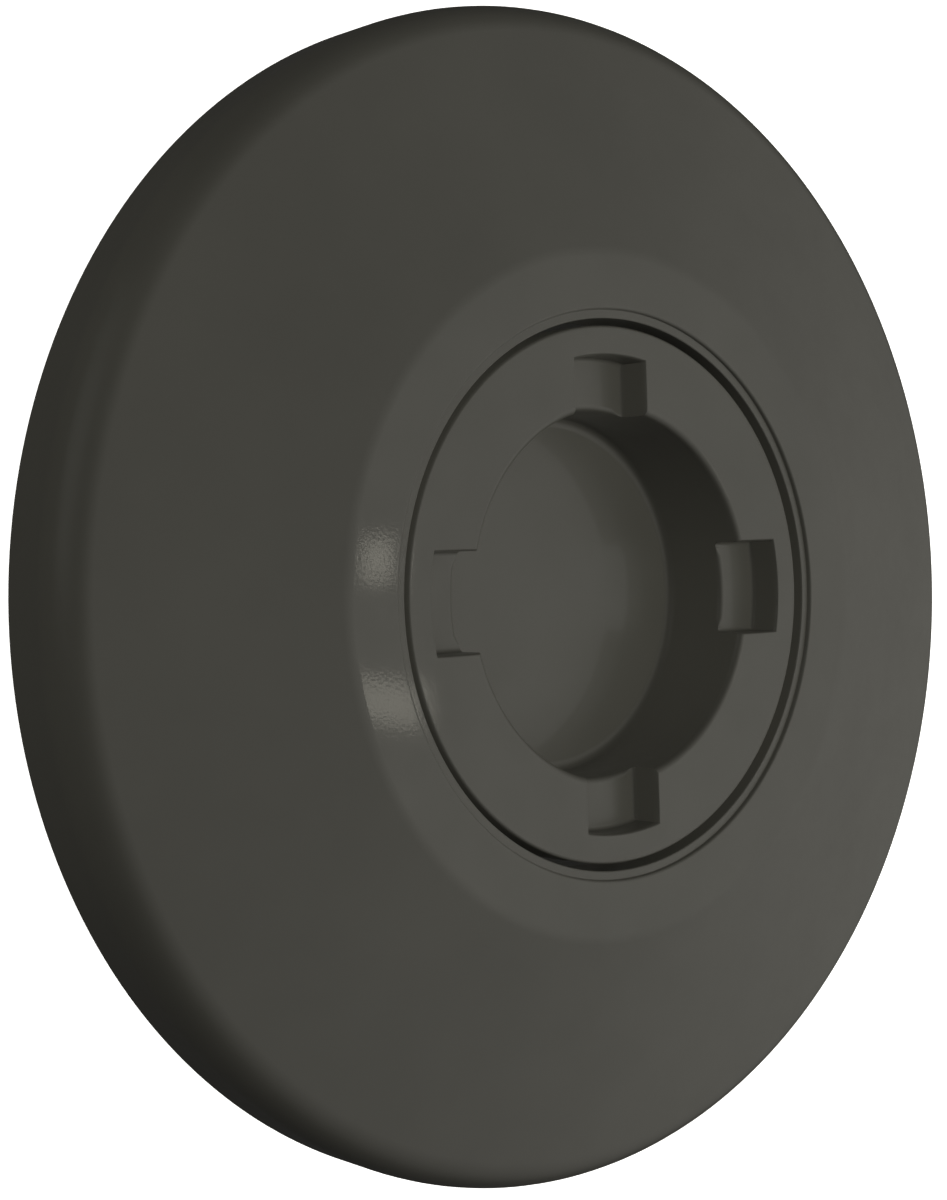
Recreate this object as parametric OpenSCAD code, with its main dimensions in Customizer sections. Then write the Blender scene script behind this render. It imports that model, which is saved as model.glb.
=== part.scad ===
// Round access cover with a screw plug in the middle.
// It lies flat: z = 0 is the surface that the cover is screwed to, and +Z is the plug's axis.

/* [Cover shell] */
// Outside diameter of the cover at its rim
cover_d = 150; // [144:1:160]
// Radius of the shoulder between the upright rim and the cone
shoulder_r = 5.3; // [4:0.1:7]
// Slope of the cone above the horizontal, in degrees
cone_angle = 14.2; // [13:0.1:15]
// Radius of the edge where the cone meets the flat crown
crown_r = 42.8; // [41:0.1:45]
// Height of the flat crown above the mounting surface
crown_z = 18.85; // [18.5:0.05:20]
// Wall thickness of the moulded shell
wall = 2.6; // [2:0.1:3]
// Drop from the crown to the narrow ledge around the plug
ledge_drop = 0.5; // [0.45:0.05:0.8]
// Number of stiffening ribs inside the shell
shell_ribs = 12; // [6:1:18]

/* [Plug] */
// Diameter of the plug's face
plug_d = 67.2; // [66:0.1:67.6]
// Height of the plug's face above the mounting surface
plug_z = 17.9; // [17.5:0.05:18.3]
// Diameter of the round recess in the plug's face
cup_d = 46.4; // [44:0.2:48]
// Depth of the round recess
cup_depth = 13.2; // [11:0.1:13.4]
// Width of each of the four spanner pockets
pocket_w = 12; // [10:0.5:14]
// Diameter of the circle that the pockets' outer walls lie on
pocket_d = 59.7; // [56:0.1:61]
// Depth of the pockets
pocket_depth = 4.2; // [3.5:0.1:4.4]
// Turn of the pockets away from the cover's own axes, in degrees
plug_twist = 1.7; // [0:0.1:5]

/* [Thread] */
// Pitch of the plug's thread
pitch = 2.309; // [2.3:0.001:2.5]
// Crest diameter of the plug's thread
thread_d = 59.1; // [58.9:0.1:59.3]
// Height of the thread
thread_h = 1.5; // [1.3:0.05:1.6]
// Play between the two threads, measured across the thread
thread_play = 0.3; // [0.25:0.05:0.4]

/* [Base plate] */
// Diameter of the hidden base plate
base_d = 136; // [134:1:137]
// Thickness of the base plate
base_t = 4; // [3.5:0.5:4.5]
// Thickness of the gasket under the base plate
gasket_t = 2; // [1.5:0.5:2]
// Number of stiffening ribs on the base plate
base_ribs = 12; // [6:6:12]

/* [Fixings] */
// Number of fixing screws
screws = 6; // [4:1:8]
// Diameter of the circle that the screws lie on
screw_pcd = 104; // [98:1:106]
// Diameter of the screws
screw_d = 5; // [4:0.5:5]
// Length of the screws under the head
screw_len = 30; // [20:5:40]

/* [Hidden] */
$fn = 128;
GREY = [0.27, 0.27, 0.24];
DARK = [0.16, 0.16, 0.15];
RUBBER = [0.09, 0.09, 0.09];
STEEL = [0.72, 0.72, 0.70];
NYLON = [0.86, 0.85, 0.80];

// Shell
rim_r = cover_d / 2;
rim_z = 0.3;
rim_chamfer = 0.3;
crown_round = 6;
ledge_out = 35.5;
ledge_in = 34.4;
ledge_z = crown_z - ledge_drop;
ledge_edge = 0.4;
ledge_chamfer = 0.15;
collar_out = 36.3;
collar_z = 11;
skirt_in = 63.4;
skirt_t = 2.2;
skirt_z = 5.7;
skirt_chamfer = 0.5;
seal_in = rim_r - 1.9;
seal_out = rim_r - 0.7;
seal_top = 1.9;
seal_chamfer = 0.2;
shoulder_x = rim_r - shoulder_r;
cone_end_x = shoulder_x + shoulder_r * sin(cone_angle);
cone_end_z = crown_z - (cone_end_x - crown_r) * tan(cone_angle);
shoulder_z = cone_end_z - shoulder_r * cos(cone_angle);
shell_rib_t = 1.6;
shell_rib_z = 11.6;
shell_rib_end = 58;
shell_rib_run = 1.5;
rib_first = 15;
// How far the end of a rib runs into the wall that it joins
bury = 0.5;

// Base
gasket_seat = 0.5;
base_z = gasket_t - gasket_seat;
base_top = base_z + base_t;
neck_r = 33;
neck_z = 9.4;
upstand_in = 58.4;
upstand_out = 61.9;
upstand_z = 10.2;
grip_ring_r = 62.1;
grip_ring_t = 1.1;
grip_ring_z = 7.9;
boss_r = 6.6;
boss_z = base_top + 0.5;
base_rib_t = 1.8;
base_rib_z = 9;
gasket_in = 37;
gasket_out = 66;
hole_play = 0.25;

// Fixings
washer_t = 1;
washer_r = 5;
screw_seat = boss_z + washer_t;
shank_r = screw_d / 2 - 0.25;
thread_z = -0.5;
point_h = 1;
point_r = screw_d / 2 - 0.8;
head_r = 4.75;
head_h = 2.75;
key_r = 1.75;
key_depth = 1.5;

// Plug
plug_r = plug_d / 2;
plug_edge = 0.4;
flange_z = 12.6;
barrel_z = 2;
barrel_r = thread_d / 2 - thread_h;
barrel_chamfer = 0.6;
cup_r = cup_d / 2;
cup_floor = plug_z - cup_depth;
cup_edge = 0.9;
cup_draft = 0.25;
cup_fillet = 1.3;
core_in = 24.9;
core_out = 26.3;
core_top = 11;
core_webs = 12;
core_web_t = 1.4;
core_web_first = 7.5;
slip_t = 1;
slip_in = barrel_r + 2.1;
slip_out = plug_r - 0.3;
slip_gap = 0.05;
slip_z = flange_z - slip_t - slip_gap;
oring_t = 1;
oring_r = 31.6;

// Thread: both ridges start at the same angle, so the two are in mesh at rest
flank = 27.5;
crest_w = 0.35;
sink = 0.2;
steps = 48;
fade_steps = 8;
fade_start = 0.15;
bore_r = barrel_r + 0.35;
root_r = thread_d / 2 + 0.3;
male_bottom = 2.9;
male_turns = 2.8;
female_bottom = male_bottom - 2 * pitch;
female_turns = 5.5;

// Points of an arc about (x, z), from angle a0 to a1
function arc(x, z, r, a0, a1, n = 12) =
    [for (i = [0:n]) let (a = a0 + (a1 - a0) * i / n) [x + r * cos(a), z + r * sin(a)]];

// Height of the cone's outer face, moved down by t along its normal
function cone_z(x, t = 0) = crown_z - (x - crown_r) * tan(cone_angle) - t / cos(cone_angle);

// A flat ring with a rectangular section
module ring(r_in, r_out, z0, z1) {
    translate([0, 0, z0])
        difference() {
            cylinder(h = z1 - z0, r = r_out);
            translate([0, 0, -1]) cylinder(h = z1 - z0 + 2, r = r_in);
        }
}

// Radial webs of thickness t, standing on z0
module webs(count, first, t, r_in, r_out, z0, z1) {
    for (i = [0:count - 1])
        rotate(first + 360 * i / count)
            translate([r_in, -t / 2, z0])
                cube([r_out - r_in, t, z1 - z0]);
}

// Places its children at every fixing screw
module at_screws() {
    for (i = [1:screws]) at_screw(i) children();
}

module at_screw(i) {
    rotate(360 * (i - 1) / screws) translate([screw_pcd / 2, 0, 0]) children();
}

// Helical ridge from radius r_in out to r_out, w_in and w_out wide, with faded ends
module helix(r_in, r_out, w_in, w_out, z0, turns) {
    n = round(turns * steps);
    function fade(i) = min(1, fade_start + i / fade_steps, fade_start + (n - i) / fade_steps);
    function section(i) =
        let (a = 360 * i / steps, z = z0 + pitch * i / steps, r = r_in + (r_out - r_in) * fade(i))
        [for (p = [[r_in, -w_in], [r, -w_out], [r, w_out], [r_in, w_in]])
            [p[0] * cos(a), p[0] * sin(a), z + p[1] / 2]];
    sides = [for (i = [0:n - 1]) for (k = [0:3])
        let (a = 4 * i + k, b = 4 * i + (k + 1) % 4)
        each [[a, b, a + 4], [b, b + 4, a + 4]]];
    ends = [[3, 2, 1, 0], [4 * n, 4 * n + 1, 4 * n + 2, 4 * n + 3]];
    polyhedron(points = [for (i = [0:n]) each section(i)], faces = concat(sides, ends));
}

module shell_outline() {
    polygon(concat(
        [[rim_r - rim_chamfer, rim_z], [rim_r, rim_z + rim_chamfer]],
        arc(shoulder_x, shoulder_z, shoulder_r, 0, 90 - cone_angle, 24),
        arc(crown_r - crown_round * tan(cone_angle / 2), crown_z - crown_round, crown_round,
            90 - cone_angle, 90, 6),
        arc(ledge_out + ledge_edge, crown_z - ledge_edge, ledge_edge, 90, 180, 5),
        [[ledge_out, ledge_z]],
        [[ledge_in + ledge_chamfer, ledge_z], [ledge_in, ledge_z - ledge_chamfer]],
        [[ledge_in, collar_z], [collar_out, collar_z], [collar_out, crown_z - wall]],
        [[crown_r - wall * tan(cone_angle / 2), crown_z - wall]],
        arc(shoulder_x, shoulder_z, shoulder_r - wall, 90 - cone_angle, 0, 12),
        [[rim_r - wall, rim_z]]
    ));
}

module cover_shell() {
    color(GREY) {
        difference() {
            rotate_extrude() shell_outline();
            ring(seal_in, seal_out, rim_z - 1, seal_top);
        }
        rotate_extrude()
            polygon([
                [skirt_in, skirt_z + skirt_chamfer], [skirt_in + skirt_chamfer, skirt_z],
                [skirt_in + skirt_t, skirt_z],
                [skirt_in + skirt_t, cone_z(skirt_in + skirt_t, wall / 2)],
                [skirt_in, cone_z(skirt_in, wall / 2)]
            ]);
        intersection() {
            webs(shell_ribs, rib_first, shell_rib_t, collar_out - bury, shell_rib_end,
                shell_rib_z, crown_z);
            rotate_extrude()
                polygon([
                    [collar_out - 2 * bury, shell_rib_z], [shell_rib_end - shell_rib_run, shell_rib_z],
                    [shell_rib_end, cone_z(shell_rib_end, wall)],
                    [shell_rib_end, cone_z(shell_rib_end, wall / 2)],
                    [crown_r, cone_z(crown_r, wall / 2)], [collar_out - 2 * bury, crown_z - wall / 2]
                ]);
        }
    }
}

module rim_seal() {
    color(RUBBER)
        rotate_extrude()
            polygon([
                [seal_in, seal_top], [seal_in, seal_chamfer], [seal_in + seal_chamfer, 0],
                [seal_out - seal_chamfer, 0], [seal_out, seal_chamfer], [seal_out, seal_top]
            ]);
}

module base_plate() {
    color(DARK)
        difference() {
            union() {
                ring(bore_r, base_d / 2, base_z, base_top);
                ring(bore_r, neck_r, base_z, neck_z);
                ring(upstand_in, upstand_out, base_z, upstand_z);
                at_screws() translate([0, 0, base_z]) cylinder(h = boss_z - base_z, r = boss_r);
                webs(base_ribs, rib_first, base_rib_t, neck_r - bury, upstand_in + bury,
                    base_z, base_rib_z);
            }
            ring(gasket_in, gasket_out, -1, gasket_t);
            at_screws() translate([0, 0, -1]) cylinder(h = 20, r = screw_d / 2 + hole_play);
            rotate_extrude() translate([grip_ring_r, grip_ring_z]) circle(r = grip_ring_t, $fn = 32);
            helix(bore_r - sink, root_r, thread_width(bore_r - sink) + thread_play,
                thread_width(root_r) + thread_play, female_bottom, female_turns);
        }
}

// Width of the plug's thread ridge at radius r
function thread_width(r) = max(0.05, crest_w + 2 * (thread_d / 2 - r) * tan(flank));

module base_gasket() {
    color(RUBBER)
        difference() {
            ring(gasket_in, gasket_out, 0, gasket_t);
            at_screws() translate([0, 0, -1]) cylinder(h = 10, r = screw_d / 2 + hole_play);
        }
}

module grip_ring() {
    color(RUBBER)
        rotate_extrude() translate([grip_ring_r, grip_ring_z]) circle(r = grip_ring_t, $fn = 32);
}

module plug_outline() {
    polygon(concat(
        [[0, barrel_z], [barrel_r - barrel_chamfer, barrel_z], [barrel_r, barrel_z + barrel_chamfer]],
        [[barrel_r, flange_z], [plug_r, flange_z]],
        arc(plug_r - plug_edge, plug_z - plug_edge, plug_edge, 0, 90, 5),
        arc(cup_r + cup_edge, plug_z - cup_edge, cup_edge, 90, 180, 6),
        arc(cup_r - cup_draft - cup_fillet, cup_floor + cup_fillet, cup_fillet, 0, -90, 6),
        [[0, cup_floor]]
    ));
}

module plug_body() {
    color(GREY) {
        difference() {
            rotate_extrude() plug_outline();
            difference() {
                ring(core_in, core_out, 0, core_top);
                webs(core_webs, core_web_first, core_web_t, core_in - 1, core_out + 1, -1, core_top + 1);
            }
            rotate(plug_twist) intersection() {
                translate([0, 0, plug_z - pocket_depth]) cylinder(h = 10, r = pocket_d / 2);
                webs(4, 0, pocket_w, cup_r - 3, pocket_d / 2 + 2, plug_z - pocket_depth, plug_z + 2);
            }
        }
        helix(barrel_r - sink, thread_d / 2, thread_width(barrel_r - sink), crest_w,
            male_bottom, male_turns);
    }
}

module plug_oring() {
    color(RUBBER)
        rotate_extrude() translate([oring_r, slip_z - oring_t]) circle(r = oring_t, $fn = 32);
}

module slip_washer() {
    color(NYLON) ring(slip_in, slip_out, slip_z, slip_z + slip_t);
}

module fixing_screw(i) {
    color(STEEL)
        at_screw(i)
            translate([0, 0, screw_seat])
                difference() {
                    union() {
                        rotate_extrude()
                            polygon([
                                [0, 0], [head_r, 0], [head_r, 0.5], [head_r - 0.5, 1.3],
                                [head_r - 1.4, 2.1], [head_r - 2.4, head_h], [0, head_h]
                            ]);
                        translate([0, 0, thread_z - screw_seat]) cylinder(h = screw_seat + 1, r = shank_r);
                        translate([0, 0, -screw_len + point_h])
                            cylinder(h = screw_len - point_h + thread_z - screw_seat, r = screw_d / 2);
                        translate([0, 0, -screw_len])
                            cylinder(h = point_h, r1 = point_r, r2 = screw_d / 2);
                    }
                    translate([0, 0, head_h - key_depth]) cylinder(h = 5, r = key_r, $fn = 6);
                }
}

module screw_washer(i) {
    color(STEEL)
        at_screw(i) ring(screw_d / 2 + hole_play, washer_r, boss_z, boss_z + washer_t);
}

cover_shell();
rim_seal();
base_plate();
base_gasket();
grip_ring();
plug_body();
plug_oring();
slip_washer();
for (i = [1:screws]) {
    fixing_screw(i);
    screw_washer(i);
}
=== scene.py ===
"""Looks of a round access cover with a screw plug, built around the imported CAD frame.

The cover lies flat with +Z up, so the camera looks down on it from the side and is rolled a quarter turn.
Lengths are written in millimetres and turned into metres by MM.
"""

import math

import bmesh
import bpy
from mathutils import Matrix, Vector


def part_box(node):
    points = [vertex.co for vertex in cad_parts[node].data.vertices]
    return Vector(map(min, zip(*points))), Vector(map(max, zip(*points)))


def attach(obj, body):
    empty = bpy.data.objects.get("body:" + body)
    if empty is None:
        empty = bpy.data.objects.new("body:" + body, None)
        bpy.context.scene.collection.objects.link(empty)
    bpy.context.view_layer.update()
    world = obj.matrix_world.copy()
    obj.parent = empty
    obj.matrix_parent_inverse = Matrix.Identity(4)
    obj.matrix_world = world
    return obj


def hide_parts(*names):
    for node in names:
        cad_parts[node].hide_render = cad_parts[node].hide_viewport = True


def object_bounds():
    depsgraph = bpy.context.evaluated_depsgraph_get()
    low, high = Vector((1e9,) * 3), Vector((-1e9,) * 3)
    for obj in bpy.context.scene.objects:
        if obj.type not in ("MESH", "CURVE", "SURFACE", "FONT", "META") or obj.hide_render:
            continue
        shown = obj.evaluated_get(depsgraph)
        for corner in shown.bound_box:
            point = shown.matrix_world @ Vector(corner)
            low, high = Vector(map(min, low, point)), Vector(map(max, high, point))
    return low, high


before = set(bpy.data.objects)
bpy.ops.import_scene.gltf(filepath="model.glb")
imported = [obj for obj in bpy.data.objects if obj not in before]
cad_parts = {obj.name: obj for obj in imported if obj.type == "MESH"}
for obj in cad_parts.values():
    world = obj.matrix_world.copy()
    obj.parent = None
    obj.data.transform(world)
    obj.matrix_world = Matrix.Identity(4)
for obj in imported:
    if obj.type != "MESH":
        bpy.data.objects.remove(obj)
cad_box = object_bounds()

MM = 0.001
TURN = 2 * math.pi


def node_size(node):
    """Outer radius, lowest and highest z of a round CAD node about the plug's axis, in millimetres."""
    low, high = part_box(node)
    return high.x / MM, low.z / MM, high.z / MM


# ---------------------------------------------------------------- sizes, in millimetres
RIM_R, RIM_Z, CROWN_Z = node_size("cover_shell")
WALL = 2.6
CONE_ANGLE = math.radians(14.2)
SHOULDER_R = 5.3
CROWN_R = 42.8
CROWN_ROUND = 6.0
LEDGE_OUT, LEDGE_IN, LEDGE_Z, LEDGE_EDGE = 35.5, 34.4, CROWN_Z - 0.5, 0.4
COLLAR_OUT, COLLAR_Z = 36.3, 11.0
SKIRT_IN, SKIRT_OUT, SKIRT_Z = 63.4, 65.6, 5.7
SEAL_IN, SEAL_OUT, SEAL_TOP = RIM_R - 1.9, RIM_R - 0.7, node_size("rim_seal")[2]
RIB_COUNT, RIB_T, RIB_Z, RIB_END, RIB_FIRST = 12, 1.6, 11.6, 58.0, math.radians(15)
# how far the ribs slope in at their outer end, and how deep they sink into the shell
RIB_SLOPE, RIB_SINK = 1.5, 0.3

PLUG_R, BARREL_Z, PLUG_Z = node_size("plug_body")
PLUG_EDGE, CUP_EDGE = 0.4, 0.9
FLANGE_Z = 12.6
BARREL_R, BARREL_CHAMFER = 28.05, 0.6
CUP_R, CUP_DEPTH, CUP_DRAFT, CUP_FILLET = 23.2, 13.2, 0.25, 1.3
POCKET_W, POCKET_R, POCKET_DEPTH = 12.0, 29.85, 4.2
POCKET_TWIST = math.radians(1.7)
POCKET_EDGE, POCKET_FILLET, POCKET_LIP = 0.35, 0.6, 0.8
CORE_IN, CORE_OUT, CORE_TOP = 24.9, 26.3, 11.0
CORE_WEBS, WEB_T, WEB_FIRST = 12, 1.4, math.radians(7.5)

PITCH = 2.309
THREAD_R = 29.55
THREAD_BOTTOM, THREAD_TURNS = 2.9, 2.8
# widths of the thread's ridge at its foot and crest
THREAD_FOOT, THREAD_CREST = 2.17, 0.35

GASKET_IN, GASKET_EDGE = 37.0, 0.15
# the small round on the edges of stamped washers
STAMPED_EDGE = 0.12

SCREW_R, SCREW_LEN, HEAD_R, HEAD_H = 2.5, 30.0, 4.75, 2.75
SCREW_PITCH = 0.8
SCREW_ROOT, SCREW_POINT = SCREW_R - 0.42, 0.7
SHANK_R, SHANK_BOTTOM = 2.25, -0.5
KEY_R, KEY_DEPTH, KEY_CHAMFER = 1.75, 1.5, 0.15
SCREW_COUNT = sum(name.startswith("fixing_screw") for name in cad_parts)
SCREW_PCD_R = 52.0
SCREW_HOLE_R = 2.75

SEGMENTS = 256
ARC_STEP = math.radians(7)
# vertices closer than this, in metres, count as one
MERGE = 1e-3 * MM


# ---------------------------------------------------------------- mesh helpers
def new_piece(name, bm, body, replaced=(), material=None):
    """A finished piece from a bmesh, riding on a body, with its material and smooth shading."""
    bmesh.ops.remove_doubles(bm, verts=bm.verts, dist=MERGE)
    bmesh.ops.recalc_face_normals(bm, faces=bm.faces)
    for face in bm.faces:
        face.smooth = True
    mesh = bpy.data.meshes.new(name)
    bm.to_mesh(mesh)
    bm.free()
    piece = bpy.data.objects.new(name, mesh)
    bpy.context.scene.collection.objects.link(piece)
    if material:
        mesh.materials.append(material)
    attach(piece, body)
    if replaced:
        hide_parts(*replaced)
    return piece


def weighted_normals(piece):
    modifier = piece.modifiers.new("flat faces stay flat", "WEIGHTED_NORMAL")
    modifier.keep_sharp = True
    modifier.weight = 100


def soft_edges(piece, width, angle=40, segments=3):
    modifier = piece.modifiers.new("moulded edges", "BEVEL")
    modifier.width = width * MM
    modifier.segments = segments
    modifier.limit_method = "ANGLE"
    modifier.angle_limit = math.radians(angle)
    weighted_normals(piece)


def rounded(corners, closed=True):
    """The outline through (r, z) corners, each rounded by its own radius, as a list of points."""
    points = []
    count = len(corners)
    for i, (x, z, radius) in enumerate(corners):
        here = Vector((x, z))
        if radius <= 0 or (not closed and i in (0, count - 1)):
            points.append(here)
            continue
        back = (Vector(corners[i - 1][:2]) - here).normalized()
        ahead = (Vector(corners[(i + 1) % count][:2]) - here).normalized()
        half = back.angle(ahead) / 2
        centre = here + (back + ahead).normalized() * (radius / math.sin(half))
        start = here + back * (radius / math.tan(half)) - centre
        end = here + ahead * (radius / math.tan(half)) - centre
        sweep = start.angle_signed(end)
        steps = max(2, math.ceil(abs(sweep) / ARC_STEP))
        for k in range(steps + 1):
            turned = start.copy()
            turned.rotate(Matrix.Rotation(-sweep * k / steps, 2))
            points.append(centre + turned)
    return points


def at(radius, angle, z):
    return Vector((radius * math.cos(angle), radius * math.sin(angle), z)) * MM


def skin(bm, rings):
    """Faces between each ring of vertices and the next, leaving out corners that coincide."""
    for lower, upper in zip(rings, rings[1:]):
        for i in range(len(lower)):
            j = (i + 1) % len(lower)
            corners = []
            for v in (lower[i], lower[j], upper[j], upper[i]):
                if all((v.co - c.co).length > MERGE for c in corners):
                    corners.append(v)
            if len(corners) > 2:
                bm.faces.new(corners)


def loft(bm, rows):
    """A closed solid through rows of vertices, with a face at each end."""
    skin(bm, rows)
    bm.faces.new(rows[0][::-1])
    bm.faces.new(rows[-1])


def lathe(bm, outline, segments=SEGMENTS, centre=(0, 0)):
    """Turns a closed (r, z) outline about the axis through centre."""
    shift = Vector((*centre, 0)) * MM
    rings = [[bm.verts.new(at(r, TURN * i / segments, z) + shift) for i in range(segments)]
             for r, z in outline]
    skin(bm, rings + rings[:1])


def ring_outline(r_in, r_out, z0, z1, edge):
    return rounded([(r_in, z0, edge), (r_out, z0, edge), (r_out, z1, edge), (r_in, z1, edge)])


def helix(bm, r_root, r_crest, w_root, w_crest, z0, turns, pitch, steps, centre=(0, 0)):
    """A closed helical ridge, wider at its root than at its crest, that runs out at both ends."""
    shift = Vector((*centre, 0)) * MM
    count = round(turns * steps)
    fade = steps / 6
    rows = []
    for i in range(count + 1):
        grow = min(1, 0.1 + i / fade, 0.1 + (count - i) / fade)
        crest = r_root + (r_crest - r_root) * grow
        z = z0 + pitch * i / steps
        section = [(r_root, -w_root), (crest, -w_crest), (crest, w_crest), (r_root, w_root)]
        rows.append([bm.verts.new(at(r, TURN * i / steps, z + w / 2) + shift) for r, w in section])
    loft(bm, rows)


def cut(target, other):
    """Cuts another object out of a piece, and removes the other one."""
    modifier = target.modifiers.new("cut", "BOOLEAN")
    modifier.object = other
    modifier.operation = "DIFFERENCE"
    modifier.solver = "EXACT"
    graph = bpy.context.evaluated_depsgraph_get()
    mesh = bpy.data.meshes.new_from_object(target.evaluated_get(graph))
    target.modifiers.remove(modifier)
    old = target.data
    target.data = mesh
    bpy.data.meshes.remove(old)
    bpy.data.objects.remove(other)


def loose_object(name, bm):
    """A helper object for booleans, which isn't kept."""
    bmesh.ops.recalc_face_normals(bm, faces=bm.faces)
    mesh = bpy.data.meshes.new(name)
    bm.to_mesh(mesh)
    bm.free()
    helper = bpy.data.objects.new(name, mesh)
    bpy.context.scene.collection.objects.link(helper)
    return helper


# ---------------------------------------------------------------- materials
def shader(name):
    """A new material with its Principled shader, node tree and object coordinates."""
    material = bpy.data.materials.new(name)
    material.use_nodes = True
    tree = material.node_tree
    surface = tree.nodes["Principled BSDF"]
    place = tree.nodes.new("ShaderNodeTexCoord")
    return material, tree, surface, place.outputs["Object"]


def noise(tree, place, scale, detail=3.0, rough=0.5, stretch=None):
    """A noise whose scale counts features per metre."""
    if stretch:
        mapping = tree.nodes.new("ShaderNodeMapping")
        mapping.inputs["Scale"].default_value = stretch
        tree.links.new(place, mapping.inputs["Vector"])
        place = mapping.outputs["Vector"]
    node = tree.nodes.new("ShaderNodeTexNoise")
    node.inputs["Scale"].default_value = scale
    node.inputs["Detail"].default_value = detail
    node.inputs["Roughness"].default_value = rough
    tree.links.new(place, node.inputs["Vector"])
    return node.outputs["Fac"]


def remap(tree, value, low, high, start=0.3, end=0.7):
    node = tree.nodes.new("ShaderNodeMapRange")
    node.inputs["From Min"].default_value = start
    node.inputs["From Max"].default_value = end
    node.inputs["To Min"].default_value = low
    node.inputs["To Max"].default_value = high
    tree.links.new(value, node.inputs["Value"])
    return node.outputs["Result"]


def two_tone(tree, value, first, second):
    ramp = tree.nodes.new("ShaderNodeValToRGB")
    ramp.color_ramp.elements[0].position = 0.3
    ramp.color_ramp.elements[0].color = (*first, 1)
    ramp.color_ramp.elements[1].position = 0.7
    ramp.color_ramp.elements[1].color = (*second, 1)
    tree.links.new(value, ramp.inputs["Fac"])
    return ramp.outputs["Color"]


def bump(tree, surface, layers):
    """Stacks (height, strength, distance in mm) layers of bump."""
    normal = None
    for height, strength, distance in layers:
        node = tree.nodes.new("ShaderNodeBump")
        node.inputs["Strength"].default_value = strength
        node.inputs["Distance"].default_value = distance * MM
        tree.links.new(height, node.inputs["Height"])
        if normal:
            tree.links.new(normal, node.inputs["Normal"])
        normal = node.outputs["Normal"]
    tree.links.new(normal, surface.inputs["Normal"])
    tree.links.new(normal, surface.inputs["Coat Normal"])


def shade(colour, factor):
    return tuple(channel * factor for channel in colour)


def moulded_plastic(name, colour, rough, variation, coat=0.0):
    """Satin injection moulding: cloudy tone, uneven gloss, fine moulded skin and faint rubbed marks."""
    material, tree, surface, place = shader(name)
    cloud = noise(tree, place, 45, 4, 0.55)
    colours = two_tone(tree, cloud, shade(colour, 1 - variation), shade(colour, 1 + variation))
    tree.links.new(colours, surface.inputs["Base Color"])
    rub = noise(tree, place, 160, 5, 0.65)
    tree.links.new(remap(tree, rub, rough - 0.05, rough + 0.06), surface.inputs["Roughness"])
    skin = noise(tree, place, 2600, 2, 0.5)
    flow = noise(tree, place, 60, 2, 0.4)
    marks = noise(tree, place, 900, 3, 0.6, (0.08, 1, 1))
    bump(tree, surface, [(skin, 0.10, 0.03), (marks, 0.05, 0.03), (flow, 0.12, 0.12)])
    surface.inputs["IOR"].default_value = 1.5
    surface.inputs["Coat Weight"].default_value = coat
    surface.inputs["Coat Roughness"].default_value = 0.05
    return material


def rubber(name, colour):
    material, tree, surface, place = shader(name)
    bloom = noise(tree, place, 120, 5, 0.6)
    colours = two_tone(tree, bloom, shade(colour, 0.8), shade(colour, 1.5))
    tree.links.new(colours, surface.inputs["Base Color"])
    tree.links.new(remap(tree, bloom, 0.62, 0.8), surface.inputs["Roughness"])
    bump(tree, surface, [(noise(tree, place, 1800, 3), 0.25, 0.04)])
    surface.inputs["Specular IOR Level"].default_value = 0.35
    return material


def stainless(name, colour):
    material, tree, surface, place = shader(name)
    turned = noise(tree, place, 500, 2, 0.5, (1, 1, 9))
    colours = two_tone(tree, turned, shade(colour, 0.86), colour)
    tree.links.new(colours, surface.inputs["Base Color"])
    tree.links.new(remap(tree, turned, 0.24, 0.38), surface.inputs["Roughness"])
    bump(tree, surface, [(turned, 0.08, 0.02)])
    surface.inputs["Metallic"].default_value = 1.0
    return material


COVER_PLASTIC = moulded_plastic("cover_plastic", (0.060, 0.059, 0.051), 0.38, 0.05, 0.35)
BASE_PLASTIC = moulded_plastic("base_plastic", (0.020, 0.020, 0.019), 0.5, 0.12)
SLIP_PLASTIC = moulded_plastic("slip_plastic", (0.60, 0.58, 0.52), 0.42, 0.04)
RUBBER = rubber("rubber", (0.016, 0.016, 0.016))
STAINLESS = stainless("stainless", (0.62, 0.61, 0.59))


# ---------------------------------------------------------------- cover shell
def cone_z(r, below=0.0):
    """Height of the cone's outer face at radius r, or of the face that lies below it."""
    return CROWN_Z - (r - CROWN_R) * math.tan(CONE_ANGLE) - below / math.cos(CONE_ANGLE)


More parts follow.
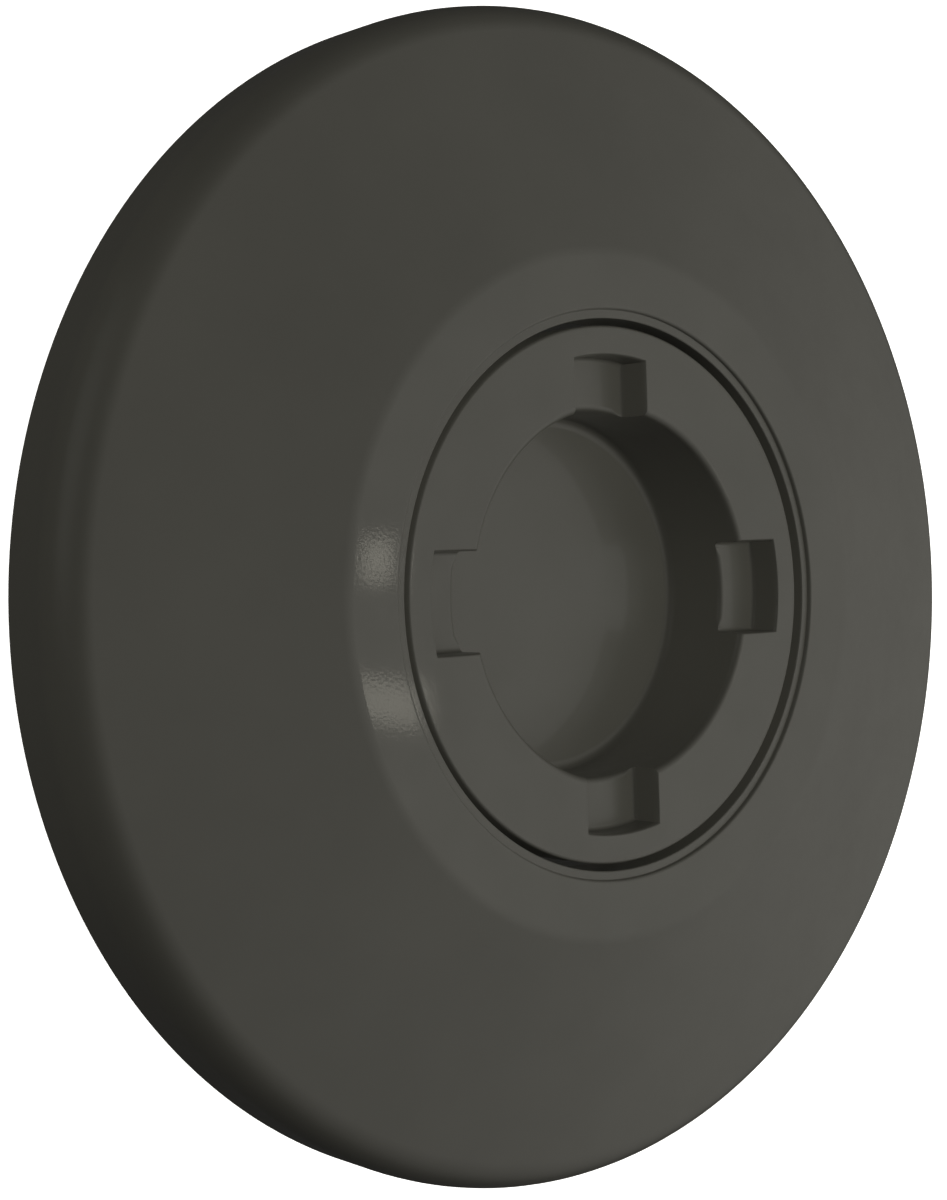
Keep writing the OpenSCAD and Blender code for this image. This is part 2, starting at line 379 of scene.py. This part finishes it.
def make_cover_shell():
    under_crown = CROWN_R - WALL * math.tan(CONE_ANGLE / 2)
    inner_wall = RIM_R - WALL
    outline = rounded([
        (RIM_R, RIM_Z, 0.3),
        (RIM_R, cone_z(RIM_R), SHOULDER_R),
        (CROWN_R, CROWN_Z, CROWN_ROUND),
        (LEDGE_OUT, CROWN_Z, LEDGE_EDGE),
        (LEDGE_OUT, LEDGE_Z, 0.08),
        (LEDGE_IN, LEDGE_Z, 0.2),
        (LEDGE_IN, COLLAR_Z, 0.3),
        (COLLAR_OUT, COLLAR_Z, 0.3),
        (COLLAR_OUT, CROWN_Z - WALL, 0.5),
        (under_crown, CROWN_Z - WALL, 2.0),
        (SKIRT_IN, cone_z(SKIRT_IN, WALL), 0.4),
        (SKIRT_IN, SKIRT_Z, 0.4),
        (SKIRT_OUT, SKIRT_Z, 0.3),
        (SKIRT_OUT, cone_z(SKIRT_OUT, WALL), 0.4),
        (inner_wall, cone_z(inner_wall, WALL), SHOULDER_R - WALL),
        (inner_wall, RIM_Z, 0.2),
        (SEAL_IN, RIM_Z, 0.1),
        (SEAL_IN, SEAL_TOP, 0.1),
        (SEAL_OUT, SEAL_TOP, 0.1),
        (SEAL_OUT, RIM_Z, 0.1),
    ])
    bm = bmesh.new()
    lathe(bm, outline)
    shell = new_piece("cover_shell_moulding", bm, "cover", ["cover_shell"], COVER_PLASTIC)
    weighted_normals(shell)

    bm = bmesh.new()
    profile = [
        (COLLAR_OUT - RIB_SINK, RIB_Z), (RIB_END - RIB_SLOPE, RIB_Z), (RIB_END, cone_z(RIB_END, WALL)),
        (RIB_END, cone_z(RIB_END, WALL - RIB_SINK)), (under_crown, CROWN_Z - WALL + RIB_SINK),
        (COLLAR_OUT - RIB_SINK, CROWN_Z - WALL + RIB_SINK),
    ]
    for i in range(RIB_COUNT):
        turn = Matrix.Rotation(RIB_FIRST + TURN * i / RIB_COUNT, 3, "Z")
        loft(bm, [[bm.verts.new(turn @ Vector((r, side * RIB_T / 2, z)) * MM) for r, z in profile]
                  for side in (-1, 1)])
    ribs = new_piece("cover_shell_ribs", bm, "cover", (), COVER_PLASTIC)
    soft_edges(ribs, 0.2)


def make_ring(name, body, node, material, outline):
    bm = bmesh.new()
    lathe(bm, outline, 192)
    weighted_normals(new_piece(name, bm, body, [node], material))


# ---------------------------------------------------------------- plug
SIDE_STEPS, ARC_STEPS, GAP_STEPS = 4, 24, 40
POCKET_COLUMNS = 2 * SIDE_STEPS + ARC_STEPS + 1


def quarter(radius, steps=6):
    """The (across, down) offsets of a quarter-round edge, from its flat side to its upright side."""
    return [(radius * (1 - math.sin(TURN / 4 * k / steps)), radius * (1 - math.cos(TURN / 4 * k / steps)))
            for k in range(steps + 1)]


def across_pocket(inset, cup_r):
    """The outline of the pocket on +X, drawn in by inset: out along one side, round the end and back."""
    half, reach = POCKET_W / 2 - inset, POCKET_R - inset
    near = math.sqrt(cup_r ** 2 - half ** 2)
    corner = math.asin(half / reach)
    far = reach * math.cos(corner)
    side = [near + (far - near) * k / SIDE_STEPS for k in range(SIDE_STEPS)]
    end = [corner * (2 * k / ARC_STEPS - 1) for k in range(ARC_STEPS + 1)]
    return ([(x, -half) for x in side] + [(reach * math.cos(a), reach * math.sin(a)) for a in end]
            + [(x, half) for x in reversed(side)])


def mouth_angle(inset, cup_r):
    """Half the angle that a pocket takes out of the recess's wall."""
    return math.asin((POCKET_W / 2 - inset) / cup_r)


def make_plug():
    floor_z = PLUG_Z - CUP_DEPTH
    step_z = PLUG_Z - POCKET_DEPTH
    bm = bmesh.new()

    def ring(pocket_points, gap_r, gap_z, mouth):
        """One ring of the plug: points given for a pocket, four times over, with arcs between them."""
        verts = []
        gap = TURN / 4 - 2 * mouth
        for pocket in range(4):
            middle = POCKET_TWIST + pocket * TURN / 4
            turn = Matrix.Rotation(middle, 3, "Z")
            verts += [bm.verts.new(turn @ Vector(point) * MM) for point in pocket_points]
            verts += [bm.verts.new(at(gap_r, middle + mouth + gap * k / GAP_STEPS, gap_z))
                      for k in range(1, GAP_STEPS)]
        return verts

    def circle(r, z, mouth):
        if r == 0:
            return [bm.verts.new((0, 0, z * MM))] * (4 * (POCKET_COLUMNS + GAP_STEPS - 1))
        angles = [mouth * (2 * k / (POCKET_COLUMNS - 1) - 1) for k in range(POCKET_COLUMNS)]
        return ring([(r * math.cos(a), r * math.sin(a), z) for a in angles], r, z, mouth)

    def outline(inset, cup_r, z):
        points = [(x, y, z) for x, y in across_pocket(inset, cup_r)]
        return ring(points, cup_r, z, mouth_angle(inset, cup_r))

    wide = mouth_angle(-POCKET_EDGE, CUP_R + CUP_EDGE)
    low = mouth_angle(POCKET_FILLET, CUP_R)

    def lip(across, down):
        """The rounded inner edge of the pockets' floors, which fades out at the pockets' sides."""
        points = []
        for k in range(POCKET_COLUMNS):
            fade = min(1, k / 4, (POCKET_COLUMNS - 1 - k) / 4)
            a = low * (2 * k / (POCKET_COLUMNS - 1) - 1)
            r = CUP_R + across * fade
            points.append((r * math.cos(a), r * math.sin(a), step_z - down * fade))
        return ring(points, CUP_R, step_z, low)

    rings = [circle(0, BARREL_Z, wide), circle(CORE_IN - 1.2, BARREL_Z, wide)]
    rings += [circle(BARREL_R - BARREL_CHAMFER, BARREL_Z, wide)]
    rings += [circle(BARREL_R, BARREL_Z + BARREL_CHAMFER, wide)]
    rings += [circle(BARREL_R, FLANGE_Z, wide), circle(PLUG_R, FLANGE_Z, wide)]
    rings += [circle(PLUG_R - across, PLUG_Z - down, wide) for across, down in reversed(quarter(PLUG_EDGE))]
    rings += [outline(-across * POCKET_EDGE / CUP_EDGE, CUP_R + across, PLUG_Z - down)
              for across, down in quarter(CUP_EDGE)]
    rings += [outline(across, CUP_R, step_z + down) for across, down in reversed(quarter(POCKET_FILLET))]
    rings += [lip(across, down) for across, down in quarter(POCKET_LIP)]
    fillet = rounded(
        [(CUP_R, PLUG_Z, 0), (CUP_R - CUP_DRAFT, floor_z, CUP_FILLET), (0, floor_z, 0)], closed=False)
    rings += [circle(r, z, low) for r, z in fillet[1:-1]]
    rings += [circle(CUP_R / 3, floor_z, low), circle(0, floor_z, low)]
    skin(bm, rings)
    plug = new_piece("plug_moulding", bm, "plug", ["plug_body"], COVER_PLASTIC)

    bm = bmesh.new()
    web = math.asin(WEB_T / 2 / CORE_IN)
    sweep = TURN / CORE_WEBS - 2 * web
    section = [(CORE_IN, 0), (CORE_OUT, 0), (CORE_OUT, CORE_TOP), (CORE_IN, CORE_TOP)]
    steps = 12
    for i in range(CORE_WEBS):
        first = WEB_FIRST + TURN * i / CORE_WEBS + web
        loft(bm, [[bm.verts.new(at(r, first + sweep * k / steps, z)) for r, z in section]
                  for k in range(steps + 1)])
    cut(plug, loose_object("coring", bm))
    soft_edges(plug, 0.2)

    bm = bmesh.new()
    helix(bm, BARREL_R - 0.2, THREAD_R, THREAD_FOOT, THREAD_CREST, THREAD_BOTTOM, THREAD_TURNS, PITCH, 96)
    thread = new_piece("plug_thread", bm, "plug", (), COVER_PLASTIC)
    soft_edges(thread, 0.08, 30, 2)


# ---------------------------------------------------------------- base
def make_gasket():
    """The flat gasket, a filled flat outline with its screw holes, given thickness and soft edges."""
    low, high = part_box("base_gasket")
    thickness = (high.z - low.z) / MM
    curve = bpy.data.curves.new("base_gasket_sheet", "CURVE")
    curve.dimensions = "2D"
    curve.fill_mode = "BOTH"
    curve.extrude = (thickness / 2 - GASKET_EDGE) * MM
    curve.bevel_depth = GASKET_EDGE * MM
    curve.bevel_resolution = 2
    curve.offset = -GASKET_EDGE * MM
    circles = [(0, 0, high.x / MM, 192), (0, 0, GASKET_IN, 128)]
    for i in range(SCREW_COUNT):
        a = TURN * i / SCREW_COUNT
        circles.append((SCREW_PCD_R * math.cos(a), SCREW_PCD_R * math.sin(a), SCREW_HOLE_R, 32))
    for x, y, r, steps in circles:
        spline = curve.splines.new("POLY")
        spline.points.add(steps - 1)
        for k, point in enumerate(spline.points):
            a = TURN * k / steps
            point.co = ((x + r * math.cos(a)) * MM, (y + r * math.sin(a)) * MM, 0, 1)
        spline.use_cyclic_u = True
    helper = bpy.data.objects.new("gasket_curve", curve)
    bpy.context.scene.collection.objects.link(helper)
    graph = bpy.context.evaluated_depsgraph_get()
    mesh = bpy.data.meshes.new_from_object(helper.evaluated_get(graph))
    bpy.data.objects.remove(helper)
    bm = bmesh.new()
    bm.from_mesh(mesh)
    bmesh.ops.translate(bm, verts=bm.verts, vec=(0, 0, (low.z + high.z) / 2))
    gasket = new_piece("base_gasket_sheet", bm, "base", ["base_gasket"], RUBBER)
    weighted_normals(gasket)


def make_screw(index):
    """Button-head screw with a hexagon socket and a rolled thread."""
    low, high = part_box(f"fixing_screw_{index}")
    centre = ((low.x + high.x) / 2 / MM, (low.y + high.y) / 2 / MM)
    seat = high.z / MM - HEAD_H
    tip = seat - SCREW_LEN
    top = seat + HEAD_H
    outline = rounded([
        (0, tip, 0), (SCREW_ROOT - SCREW_POINT, tip, 0.2), (SCREW_ROOT, tip + 1.0, 0.2),
        (SCREW_ROOT, SHANK_BOTTOM, 0.1), (SHANK_R, SHANK_BOTTOM + 0.2, 0.1), (SHANK_R, seat, 0.2),
        (HEAD_R, seat, 0.15), (HEAD_R, seat + 0.5, 0.3), (HEAD_R - 2.0, top, 2.2),
        (KEY_R + KEY_CHAMFER, top, 0.1), (KEY_R, top - KEY_CHAMFER, 0),
    ], closed=False)
    bm = bmesh.new()
    steps = 48
    shift = Vector((*centre, 0)) * MM
    rings = [[bm.verts.new(at(0, 0, tip) + shift)] * steps]
    rings += [[bm.verts.new(at(r, TURN * i / steps, z) + shift) for i in range(steps)]
              for r, z in outline[1:-1]]

    def hexagon(r, z):
        ring = []
        for i in range(steps):
            a = TURN * i / steps
            side = (a % (TURN / 6)) - TURN / 12
            ring.append(bm.verts.new(at(r * math.cos(TURN / 12) / math.cos(side), a, z) + shift))
        return ring

    floor_z = top - KEY_DEPTH
    rings += [hexagon(KEY_R, top - KEY_CHAMFER), hexagon(KEY_R, floor_z)]
    rings.append([bm.verts.new(at(0, 0, floor_z - 0.4) + shift)] * steps)
    skin(bm, rings)
    turns = (SHANK_BOTTOM - tip - 1.6) / SCREW_PITCH
    helix(bm, SCREW_ROOT - 0.05, SCREW_R, 0.7, 0.1, tip + 1.2, turns, SCREW_PITCH, 24, centre)
    name = f"fixing_screw_{index}_turned"
    screw = new_piece(name, bm, "base", [f"fixing_screw_{index}"], STAINLESS)
    sharp = screw.modifiers.new("crisp edges", "EDGE_SPLIT")
    sharp.split_angle = math.radians(38)


def make_washer(index):
    node = f"screw_washer_{index}"
    low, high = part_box(node)
    centre = ((low.x + high.x) / 2 / MM, (low.y + high.y) / 2 / MM)
    outer = (high.x - low.x) / 2 / MM
    bm = bmesh.new()
    lathe(bm, ring_outline(SCREW_HOLE_R, outer, low.z / MM, high.z / MM, STAMPED_EDGE), 64, centre)
    washer = new_piece(node + "_stamped", bm, "base", [node], STAINLESS)
    weighted_normals(washer)


def torus_outline(r, z, section, steps=24):
    return [Vector((r + section * math.cos(TURN * k / steps), z + section * math.sin(TURN * k / steps)))
            for k in range(steps)]


def make_rings():
    strip = [(SEAL_IN, SEAL_TOP, 0.1), (SEAL_IN, 0, 0.3), (SEAL_OUT, 0, 0.3), (SEAL_OUT, SEAL_TOP, 0.1)]
    make_ring("rim_seal_strip", "cover", "rim_seal", RUBBER, rounded(strip))
    for name, body, node in (("grip_ring_cord", "base", "grip_ring"),
                             ("plug_oring_cord", "plug_seal", "plug_oring")):
        outer, low_z, high_z = node_size(node)
        section = (high_z - low_z) / 2
        outline = torus_outline(outer - section, (low_z + high_z) / 2, section)
        make_ring(name, body, node, RUBBER, outline)
    outer, low_z, high_z = node_size("slip_washer")
    outline = ring_outline(BARREL_R + 2.1, outer, low_z, high_z, STAMPED_EDGE)
    make_ring("slip_washer_disc", "plug_seal", "slip_washer", SLIP_PLASTIC, outline)


def dress_base_plate():
    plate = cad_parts["base_plate"]
    plate.data.materials.clear()
    plate.data.materials.append(BASE_PLASTIC)


make_cover_shell()
make_plug()
make_rings()
make_gasket()
for number in range(1, SCREW_COUNT + 1):
    make_screw(number)
    make_washer(number)
dress_base_plate()


# ---------------------------------------------------------------- camera
TILT, RISE = math.radians(40.57), math.radians(0.76)
AXIS = Vector((math.sin(TILT) * math.cos(RISE), math.sin(RISE), math.cos(TILT) * math.cos(RISE)))
UP = (Vector((0, 1, 0)) - AXIS * AXIS.y).normalized()
RIGHT = UP.cross(AXIS)
# rows: the cover's own X, Y and Z axes as the camera sees them
TO_FRAME = Matrix((RIGHT, UP, AXIS))
LENS = 63.0
CAMERA_DISTANCE = 0.27617
OFFSET_RIGHT, OFFSET_UP = 0.005913, -0.004363


def make_camera():
    data = bpy.data.cameras.new("camera")
    data.lens = LENS
    data.sensor_width = 36.0
    data.shift_x = -0.0032
    data.shift_y = -0.0324
    data.clip_start, data.clip_end = 0.01, 20
    camera = bpy.data.objects.new("camera", data)
    bpy.context.scene.collection.objects.link(camera)
    place = TO_FRAME @ Vector((-OFFSET_RIGHT, -OFFSET_UP, CAMERA_DISTANCE))
    camera.matrix_world = Matrix.Translation(place) @ TO_FRAME.to_4x4()
    bpy.context.scene.camera = camera


# ---------------------------------------------------------------- studio
# the world's strengths, and the span of cosines to the bright side over which it changes
BRIGHT_SIDE = (1.0, -0.2, 0.15)
WORLD_RANGE = (0.03, 0.42)
WORLD_SPAN = (0.35, 1.0)
LAMP_DISTANCE = 0.8
WINDOW_WIDTH, WINDOW_COLOUR = 0.022, (1.0, 0.96, 0.82)
# name, direction in the camera's axes, height in metres and power in watts
WINDOWS = (("window_high", (0.967, 0.027, 0.254), 0.018, 0.008),
           ("window_low", (0.967, -0.062, 0.250), 0.042, 0.015))
SOFTBOX_SIZE, SOFTBOX_COLOUR = (0.5, 0.5), (1.0, 0.985, 0.93)
# name, direction in the camera's axes and power in watts
SOFTBOXES = (("key", (0.985, -0.1, 0.05), 5.9),
             ("fill", (-0.5, 0.33, 0.8), 3.0))


def softbox(name, direction, size, power, colour):
    """An area light in a direction that is given in the camera's axes, aimed at the cover."""
    data = bpy.data.lights.new(name, "AREA")
    data.shape = "RECTANGLE"
    data.size, data.size_y = size
    data.energy = power
    data.color = colour
    lamp = bpy.data.objects.new(name, data)
    bpy.context.scene.collection.objects.link(lamp)
    towards = (TO_FRAME @ Vector(direction)).normalized()
    lamp.location = towards * LAMP_DISTANCE
    lamp.rotation_mode = "QUATERNION"
    lamp.rotation_quaternion = towards.to_track_quat("Z", "Y")
    return lamp


def soft_world():
    """A grey studio that brightens evenly towards one side, given in the camera's axes."""
    world = bpy.data.worlds.new("studio")
    bpy.context.scene.world = world
    world.use_nodes = True
    tree = world.node_tree
    way = tree.nodes.new("ShaderNodeTexCoord").outputs["Generated"]
    towards = tree.nodes.new("ShaderNodeVectorMath")
    towards.operation = "DOT_PRODUCT"
    tree.links.new(way, towards.inputs[0])
    towards.inputs[1].default_value = (TO_FRAME @ Vector(BRIGHT_SIDE)).normalized()
    strength = remap(tree, towards.outputs["Value"], *WORLD_RANGE, *WORLD_SPAN)
    background = tree.nodes["Background"]
    background.inputs["Color"].default_value = (1.0, 0.985, 0.955, 1)
    tree.links.new(strength, background.inputs["Strength"])


def pale_floor():
    """A glowing pale sheet that shows from above only, and throws no light on the cover."""
    bm = bmesh.new()
    reach, z = 4.0, cad_box[0].z
    bm.faces.new([bm.verts.new((x * reach, y * reach, z)) for x, y in ((-1, -1), (1, -1), (1, 1), (-1, 1))])
    mesh = bpy.data.meshes.new("floor")
    bm.to_mesh(mesh)
    bm.free()
    floor = bpy.data.objects.new("floor", mesh)
    bpy.context.scene.collection.objects.link(floor)
    material, tree, surface, place = shader("pale_floor")
    tree.links.new(two_tone(tree, noise(tree, place, 3), (0.86, 0.86, 0.85), (0.9, 0.9, 0.89)),
                   surface.inputs["Base Color"])
    surface.inputs["Roughness"].default_value = 0.9
    surface.inputs["Emission Color"].default_value = (1, 1, 1, 1)
    surface.inputs["Emission Strength"].default_value = 0.75
    clear = tree.nodes.new("ShaderNodeBsdfTransparent")
    side = tree.nodes.new("ShaderNodeNewGeometry")
    mix = tree.nodes.new("ShaderNodeMixShader")
    tree.links.new(side.outputs["Backfacing"], mix.inputs["Fac"])
    tree.links.new(surface.outputs["BSDF"], mix.inputs[1])
    tree.links.new(clear.outputs["BSDF"], mix.inputs[2])
    tree.links.new(mix.outputs["Shader"], tree.nodes["Material Output"].inputs["Surface"])
    mesh.materials.append(material)
    floor.visible_glossy = False
    floor.visible_diffuse = False


def make_studio():
    soft_world()
    pale_floor()
    for name, direction, height, power in WINDOWS:
        lamp = softbox(name, direction, (WINDOW_WIDTH, height), power, WINDOW_COLOUR)
        lamp.visible_diffuse = False
    for name, direction, power in SOFTBOXES:
        lamp = softbox(name, direction, SOFTBOX_SIZE, power, SOFTBOX_COLOUR)
        lamp.data.use_shadow = False
        lamp.visible_glossy = False
    bpy.context.scene.view_settings.view_transform = "Standard"


make_camera()
make_studio()
